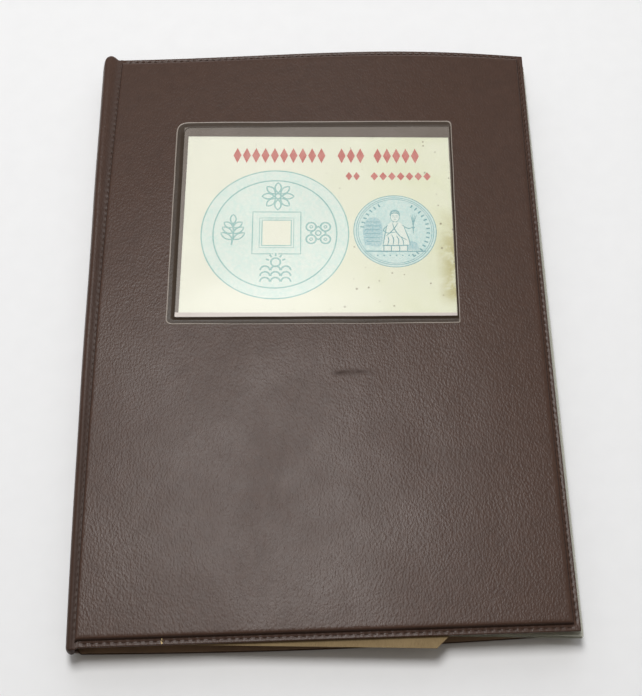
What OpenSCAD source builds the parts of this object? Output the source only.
// Coin album, closed and lying on its back cover.
// The spine is on the left at -X, the top edge of the covers points to +Y and the front cover faces +Z.
// The origin is the middle of the flat face on which the back cover rests.
// The front cover swings open over a soft spine that folds along two lines, and the pocket pages fan out with it.

/* [Cover] */
// Width of each cover from the spine fold to the fore edge
cover_w = 215; // [200:1:235]
// Height of each cover
cover_h = 303; // [280:1:320]
// Corner radius of the covers
corner_r = 1.5; // [1:0.5:3]
// Thickness of the vinyl skin
skin_t = 0.8; // [0.6:0.1:0.8]
// Thickness of the stiff board inside each cover
board_t = 2; // [1.8:0.1:2.2]
// Thickness of the flat lining inside each cover
lining_t = 0.5; // [0.4:0.1:0.5]
// Clear height between the two linings
inner_gap = 7.4; // [7.4:0.1:8]

/* [Hem] */
// Width of the flat sewn hem
hem_w = 2.7; // [2.5:0.1:3.5]
// Width of the slope between the hem and the raised panel
slope_w = 2.3; // [1.5:0.1:3]
// Distance from the cover's edge to the line of thread
thread_inset = 1.7; // [1.4:0.1:1.9]
// Width of the sewn thread
thread_w = 0.5; // [0.4:0.1:0.6]
// Height of the thread above the hem
thread_t = 0.2; // [0.1:0.05:0.3]

/* [Spine] */
// How far the soft spine stands out past the fold lines
spine_bulge = 2.4; // [2:0.1:2.6]
// Thickness of the card strip inside the spine
stiffener_t = 0.6; // [0.4:0.1:0.8]
// Thickness of the spine's lining
spine_lining_t = 0.3; // [0.2:0.1:0.4]

/* [Window] */
// Width of the clear pocket on the front cover
window_w = 138.5; // [120:0.5:150]
// Height of the clear pocket
window_h = 114; // [100:0.5:125]
// Middle of the clear pocket, from the middle of the cover to the left
window_left = 2; // [0:0.5:10]
// Middle of the clear pocket, from the middle of the cover upwards
window_up = 53.5; // [45:0.5:60]
// Angle at which the pocket sits on the cover
window_turn = -1; // [-2:0.25:2]
// Corner radius of the clear pocket
window_r = 4; // [1:0.5:8]
// Width of the weld along the left, the top and the bottom of the clear pocket
weld_w = 3.5; // [2:0.25:5]
// Width of the weld along the right of the clear pocket
weld_right_w = 1.4; // [1:0.1:4]
// Thickness of the clear film
film_t = 0.3; // [0.2:0.05:0.35]

/* [Label card] */
// Width of the printed card
card_w = 130.5; // [100:0.5:131]
// Height of the printed card
card_h = 99.5; // [80:0.5:101]
// Thickness of the printed card
card_t = 0.35; // [0.2:0.05:0.35]

/* [Pages] */
// Thickness of a page's back film
back_film_t = 0.2; // [0.15:0.05:0.25]
// Thickness of a page's pocket film
pocket_film_t = 0.2; // [0.15:0.05:0.25]
// Clear depth of a coin pocket
pocket_depth = 1; // [0.8:0.05:1]
// Distance from one page to the next
page_pitch = 1.5; // [1.5:0.05:1.6]
// Height of the pages
page_h = 299; // [270:1:299]
// How far the pages reach past the fore edge of the covers
page_past_edge = 1.3; // [0:0.1:2]
// How far the pages reach past the bottom edge of the covers
page_past_bottom = 0.9; // [0:0.1:2]
// Coin pockets across a page
pocket_columns = 4; // [3:1:5]
// Coin pockets up a page
pocket_rows = 6; // [4:1:7]
// Width of the welds between pockets
rib_w = 1.2; // [0.8:0.1:2]
// Length of the slot into each pocket
slot_l = 34; // [20:1:36]

/* [Binding] */
// Distance from the fold line to the binding posts
post_inset = 6.5; // [6.5:0.1:7]
// Distance between neighbouring posts
post_spacing = 107; // [80:1:120]
// Outer radius of a post's barrel
post_r = 2.5; // [2:0.1:2.6]
// Radius of a screw's shank
shank_r = 1.5; // [1.2:0.1:1.6]
// Radius of the post's foot and of the screw's head
head_r = 4; // [3.5:0.1:4]
// Width of the clamp bar
bar_w = 9; // [8.5:0.1:9]
// Thickness of the clamp bar
bar_t = 0.7; // [0.5:0.05:0.7]

/* [Loose sheet] */
// Width of the kraft paper sheet kept inside the front cover
sheet_w = 148; // [100:1:160]
// Height of the kraft paper sheet
sheet_h = 210; // [150:1:230]
// Length of the cut at each corner of the sheet
sheet_cut = 6; // [2:0.5:15]
// Thickness of the kraft paper sheet
sheet_t = 0.25; // [0.2:0.05:0.3]
// Angle at which the sheet lies
sheet_turn = -3; // [-4:0.1:4]

/* [Hidden] */
$fn = 48;
eps = 0.01;

vinyl = "#4c3a32";
lining_vinyl = "#5b463b";
greyboard = "#8d8679";
thread_brown = "#6b4a38";
clear = [0.85, 0.88, 0.86, 0.45];
cream = "#ecead2";
kraft = "#8a7248";
steel = "#b9bcc0";
coin_colours = ["#8a6a3c", "#c2a45a", "#c6c8ca", "#a9a59a"];

fold_x = -cover_w / 2;
fore_x = cover_w / 2;
bottom_y = -cover_h / 2;
cover_t = skin_t + board_t + lining_t;
hem_outer = board_t;
closed_t = 2 * cover_t + inner_gap;

// The board lies inside the slope, with the skin on every side of it.
board_inset = hem_w + slope_w;
lining_inset = 0.5;

// The two lines along which the spine folds. The film on the front clears the table when the album lies open.
fold_low = hem_outer + skin_t;
fold_high = closed_t - hem_outer;
spine_wrap = 35;

page_t = back_film_t + pocket_depth + pocket_film_t;
page_gap = 0.1;
page_bottom = bottom_y - page_past_bottom;
page_right = fore_x + page_past_edge;
page_corner_r = 4;
crease_gap = 0.5;
crease_r = 0.35;
stub_gap = 2.6;
crease_inset = 15.5;
crease_step = 2.2;
page_count = 4;
pocket_left = fold_x + 26;
pocket_margin = 2;
pocket_bottom = page_bottom + pocket_margin;
pocket_pitch_x = (page_right - pocket_margin - pocket_left) / pocket_columns;
pocket_pitch_y = (page_h - 2 * pocket_margin) / pocket_rows;
slot_w = 1.2;
slot_drop = 4;

post_x = fold_x + post_inset;
foot_t = 0.5;
head_t = 0.6;
post_floor = cover_t;
stub_left = fold_x + 1.5;
stub_top = page_z(page_count) + page_t / 2;
bar_top = stub_top + bar_t;
hole_slack = 0.3;
bore_slack = 0.05;
foot_slack = 0.2;
shank_gap = 0.4;
slot_depth = 0.3;

pocket_shift = (weld_w - weld_right_w) / 2;
pocket_play = 0.05;
card_floor = closed_t + 0.02;
film_floor = card_floor + card_t + pocket_play;
film_wall = 0.4;
card_shift = [1.1, -2.1];
card_turn = -0.3;

sheet_floor = closed_t - cover_t - sheet_t - 0.05;
sheet_x = fold_x + 91;
sheet_y = bottom_y + sheet_h / 2 - 0.7;

coin_t = 0.95;
coin_floor = 0.02;
// Coin radii on each page, from the bottom row to the top row
coin_radii = [
    [11, 11.5, 12, 12.5, 13, 14],
    [9.5, 10.5, 11.5, 12, 13, 13.5],
    [10, 11, 12, 13, 14, 15],
    [10.5, 11, 13, 14, 15.5, 17]
];

// Height of the middle of a page, counted from the back cover
function page_z(k) = cover_t + page_gap + page_t / 2 + (k - 1) * page_pitch;

// The crease at which a page turns. Lower pages crease further out, so that they turn round the ones above.
function crease_x(k) = fold_x + crease_inset + (page_count - k) * crease_step;

module rounded_rect(w, h, r) {
    for (x = [r - w / 2, w / 2 - r], y = [r - h / 2, h / 2 - r])
        translate([x, y])
            circle(r);
    square([w - 2 * r, h], center = true);
    square([w, h - 2 * r], center = true);
}

module rounded_plate(w, h, t, r) {
    linear_extrude(t)
        rounded_rect(w, h, r);
}

// A band of even width inside a rounded outline
module rounded_frame(w, h, band, t, r) {
    linear_extrude(t)
        difference() {
            rounded_rect(w, h, r);
            rounded_rect(w - 2 * band, h - 2 * band, max(r - band, 0.5));
        }
}

// The raised panel of a cover: a slab whose four sides slope out to the hem
module raised_panel() {
    foot_w = cover_w - 2 * hem_w;
    foot_h = cover_h - 2 * hem_w;
    intersection() {
        rotate([90, 0, 0])
            linear_extrude(cover_h, center = true)
                slope_profile(foot_w);
        rotate([90, 0, 90])
            linear_extrude(cover_w, center = true)
                slope_profile(foot_h);
    }
}

module slope_profile(foot) {
    polygon([
        [-foot / 2, hem_outer + eps],
        [-foot / 2 + slope_w - skin_t, 0],
        [foot / 2 - slope_w + skin_t, 0],
        [foot / 2, hem_outer + eps]
    ]);
}

// One cover with its outer face down at z = 0
module cover_skin() {
    difference() {
        union() {
            translate([0, 0, hem_outer])
                rounded_plate(cover_w, cover_h, skin_t, corner_r);
            raised_panel();
        }
        translate([0, 0, skin_t])
            linear_extrude(board_t + 1)
                square([cover_w - 2 * board_inset, cover_h - 2 * board_inset], center = true);
    }
}

module cover_board() {
    translate([0, 0, skin_t])
        linear_extrude(board_t)
            square([cover_w - 2 * board_inset, cover_h - 2 * board_inset], center = true);
}

module cover_lining() {
    translate([0, 0, skin_t + board_t])
        rounded_plate(cover_w - 2 * lining_inset, cover_h - 2 * lining_inset, lining_t, corner_r);
}

module cover_thread() {
    translate([0, 0, hem_outer - thread_t])
        rounded_frame(cover_w - 2 * thread_inset, cover_h - 2 * thread_inset, thread_w, thread_t, corner_r);
}

// The front cover is the back cover turned over.
module as_front() {
    translate([0, 0, closed_t])
        mirror([0, 0, 1])
            children();
}

module back_skin() {
    color(vinyl)
        cover_skin();
}

module back_board() {
    color(greyboard)
        cover_board();
}

module back_lining() {
    color(lining_vinyl)
        cover_lining();
}

module back_thread() {
    color(thread_brown)
        cover_thread();
}

module front_skin() {
    color(vinyl)
        as_front()
            cover_skin();
}

module front_board() {
    color(greyboard)
        as_front()
            cover_board();
}

module front_lining() {
    color(lining_vinyl)
        as_front()
            cover_lining();
}

module front_thread() {
    color(thread_brown)
        as_front()
            cover_thread();
}

// A strip of the spine from one fold line to the other, seen along Y
module spine_strip(outer, t, trim) {
    rotate([90, 0, 0])
        linear_extrude(cover_h - 2 * corner_r, center = true)
            translate([fold_x - outer, fold_low + trim])
                square([t, fold_high - fold_low - 2 * trim]);
}

// The skin curls round each fold line towards its cover and stops short of it.
module spine_skin() {
    color(vinyl) {
        spine_strip(spine_bulge, skin_t, 0);
        spine_curl(fold_low, 180);
        spine_curl(fold_high, 180 - spine_wrap);
    }
}

module spine_curl(z, start) {
    translate([fold_x, 0, z])
        rotate([90, 0, 0])
            linear_extrude(cover_h - 2 * corner_r, center = true)
                intersection() {
                    difference() {
                        circle(spine_bulge);
                        circle(spine_bulge - skin_t);
                    }
                    polygon([
                        [0, 0],
                        2 * spine_bulge * [cos(start), sin(start)],
                        2 * spine_bulge * [cos(start + spine_wrap), sin(start + spine_wrap)]
                    ]);
                }
}

module spine_stiffener() {
    color(greyboard)
        spine_strip(spine_bulge - skin_t, stiffener_t, 0.8);
}

module spine_lining() {
    color(lining_vinyl)
        spine_strip(spine_bulge - skin_t - stiffener_t, spine_lining_t, 0.4);
}

// The clear pocket: a welded border flat on the skin, a low wall and the film over the card
module window_film() {
    inner_w = window_w - weld_w - weld_right_w;
    inner_h = window_h - 2 * weld_w;
    color(clear)
        at_window() {
            translate([0, 0, closed_t])
                linear_extrude(film_t)
                    difference() {
                        translate([-pocket_shift, 0])
                            rounded_rect(window_w, window_h, window_r);
                        rounded_rect(inner_w, inner_h, 1);
                    }
            translate([0, 0, closed_t])
                rounded_frame(inner_w + 2 * film_wall, inner_h + 2 * film_wall, film_wall,
                              film_floor + film_t - closed_t, 1);
            translate([0, 0, film_floor])
                rounded_plate(inner_w + film_wall, inner_h + film_wall, film_t, 1);
        }
}

// The middle of the pocket's inside, turned with the pocket
module at_window() {
    translate([-window_left, window_up, 0])
        rotate(window_turn)
            translate([pocket_shift, 0, 0])
                children();
}

module label_card() {
    color(cream)
        at_window()
            translate([card_shift[0], card_shift[1], card_floor])
                rotate(card_turn)
                    linear_extrude(card_t)
                        square([card_w, card_h], center = true);
}

module kraft_sheet() {
    half_w = sheet_w / 2;
    half_h = sheet_h / 2;
    color(kraft)
        translate([sheet_x, sheet_y, sheet_floor])
            rotate(sheet_turn)
                linear_extrude(sheet_t)
                    polygon([
                        [-half_w + sheet_cut, -half_h],
                        [half_w - sheet_cut, -half_h],
                        [half_w, -half_h + sheet_cut],
                        [half_w, half_h - sheet_cut],
                        [half_w - sheet_cut, half_h],
                        [-half_w + sheet_cut, half_h],
                        [-half_w, half_h - sheet_cut],
                        [-half_w, -half_h + sheet_cut]
                    ]);
}

// Everything on a page is placed from the middle of its thickness.
module at_page(k, z) {
    translate([0, 0, page_z(k) + z])
        children();
}

module page_outline(left) {
    w = page_right - left;
    translate([left + w / 2, page_bottom + page_h / 2])
        difference() {
            rounded_rect(w, page_h, page_corner_r);
            translate([-w / 2 - 1, -page_h / 2 - 1])
                square([1, page_h + 2]);
        }
}

module at_pockets() {
    for (i = [0 : pocket_columns - 1], j = [0 : pocket_rows - 1])
        translate([pocket_left + (i + 0.5) * pocket_pitch_x, pocket_bottom + (j + 0.5) * pocket_pitch_y])
            children();
}

module page_backing(k) {
    color(clear)
        at_page(k, -page_t / 2)
            linear_extrude(back_film_t)
                page_outline(crease_x(k) + crease_gap);
}

// The pocket film and the welds that join it to the backing, with a slot into each pocket and a bead at the crease
module page_pockets(k) {
    color(clear) {
        at_page(k, 0)
            translate([crease_x(k), page_bottom + page_h / 2, 0]) {
                rotate([90, 0, 0])
                    cylinder(r = crease_r, h = page_h - 2 * page_corner_r, center = true);
                translate([0, page_corner_r - page_h / 2, -back_film_t / 2])
                    cube([crease_gap + rib_w, page_h - 2 * page_corner_r, back_film_t]);
            }
        at_page(k, back_film_t - page_t / 2)
            linear_extrude(pocket_depth)
                difference() {
                    page_outline(crease_x(k) + crease_gap);
                    at_pockets()
                        square([pocket_pitch_x - rib_w, pocket_pitch_y - rib_w], center = true);
                }
        at_page(k, page_t / 2 - pocket_film_t)
            linear_extrude(pocket_film_t)
                difference() {
                    page_outline(crease_x(k) + crease_gap);
                    at_pockets()
                        translate([0, pocket_pitch_y / 2 - slot_drop])
                            square([slot_l, slot_w], center = true);
                }
    }
}

// Coins rest near the bottom of their pockets. Those on the first page are cast coins with a square hole.
module page_coins(k) {
    color(coin_colours[k - 1])
        at_page(k, back_film_t - page_t / 2 + coin_floor)
            for (i = [0 : pocket_columns - 1], j = [0 : pocket_rows - 1])
                translate([pocket_left + (i + 0.5) * pocket_pitch_x, coin_y(k, j)])
                    difference() {
                        cylinder(r = coin_radii[k - 1][j], h = coin_t);
                        if (k == 1)
                            translate([0, 0, coin_t / 2])
                                cube([5.5, 5.5, 2], center = true);
                    }
}

function coin_y(k, j) = pocket_bottom + j * pocket_pitch_y + rib_w + 1.5 + coin_radii[k - 1][j];

// The stub of a page, clamped between the posts' feet and the bar
module page_stub(k) {
    w = crease_x(k) - stub_gap - stub_left;
    color(clear)
        at_page(k, -page_t / 2)
            difference() {
                translate([stub_left, page_bottom + page_corner_r, 0])
                    cube([w, page_h - 2 * page_corner_r, page_t]);
                at_posts()
                    cylinder(r = post_r + hole_slack, h = 10, center = true);
                if (k == 1)
                    at_posts()
                        cylinder(r = head_r + foot_slack, h = 2 * (foot_t + 0.1), center = true);
            }
}

module at_posts() {
    for (i = [-1 : 1])
        translate([post_x, i * post_spacing, 0])
            children();
}

module clamp_bar() {
    color(steel)
        difference() {
            translate([post_x, 0, stub_top])
                rounded_plate(bar_w, 2 * post_spacing + 40, bar_t, 3);
            at_posts()
                cylinder(r = post_r + hole_slack, h = 20);
        }
}

module binding_posts() {
    color(steel)
        at_posts()
            difference() {
                union() {
                    translate([0, 0, post_floor])
                        cylinder(r = head_r, h = foot_t);
                    translate([0, 0, post_floor])
                        cylinder(r = post_r, h = bar_top - post_floor - 0.1);
                }
                translate([0, 0, post_floor + foot_t])
                    cylinder(r = shank_r + bore_slack, h = 10);
            }
}

module post_screws() {
    shank_floor = post_floor + foot_t + shank_gap;
    color(steel)
        at_posts()
            difference() {
                union() {
                    translate([0, 0, bar_top])
                        cylinder(r = head_r, h = head_t);
                    translate([0, 0, shank_floor])
                        cylinder(r = shank_r, h = bar_top - shank_floor + eps);
                }
                translate([0, 0, bar_top + head_t])
                    cube([2 * head_r + 1, 1, 2 * slot_depth], center = true);
            }
}

back_skin();
back_board();
back_lining();
back_thread();
page_stub(1);  // page_1_stub
page_stub(2);  // page_2_stub
page_stub(3);  // page_3_stub
page_stub(4);  // page_4_stub
clamp_bar();
binding_posts();
post_screws();
spine_skin();
spine_stiffener();
spine_lining();
front_skin();
front_board();
front_lining();
front_thread();
window_film();
label_card();
kraft_sheet();
page_backing(1);  // page_1_backing
page_pockets(1);  // page_1_pockets
page_coins(1);  // page_1_coins
page_backing(2);  // page_2_backing
page_pockets(2);  // page_2_pockets
page_coins(2);  // page_2_coins
page_backing(3);  // page_3_backing
page_pockets(3);  // page_3_pockets
page_coins(3);  // page_3_coins
page_backing(4);  // page_4_backing
page_pockets(4);  // page_4_pockets
page_coins(4);  // page_4_coins
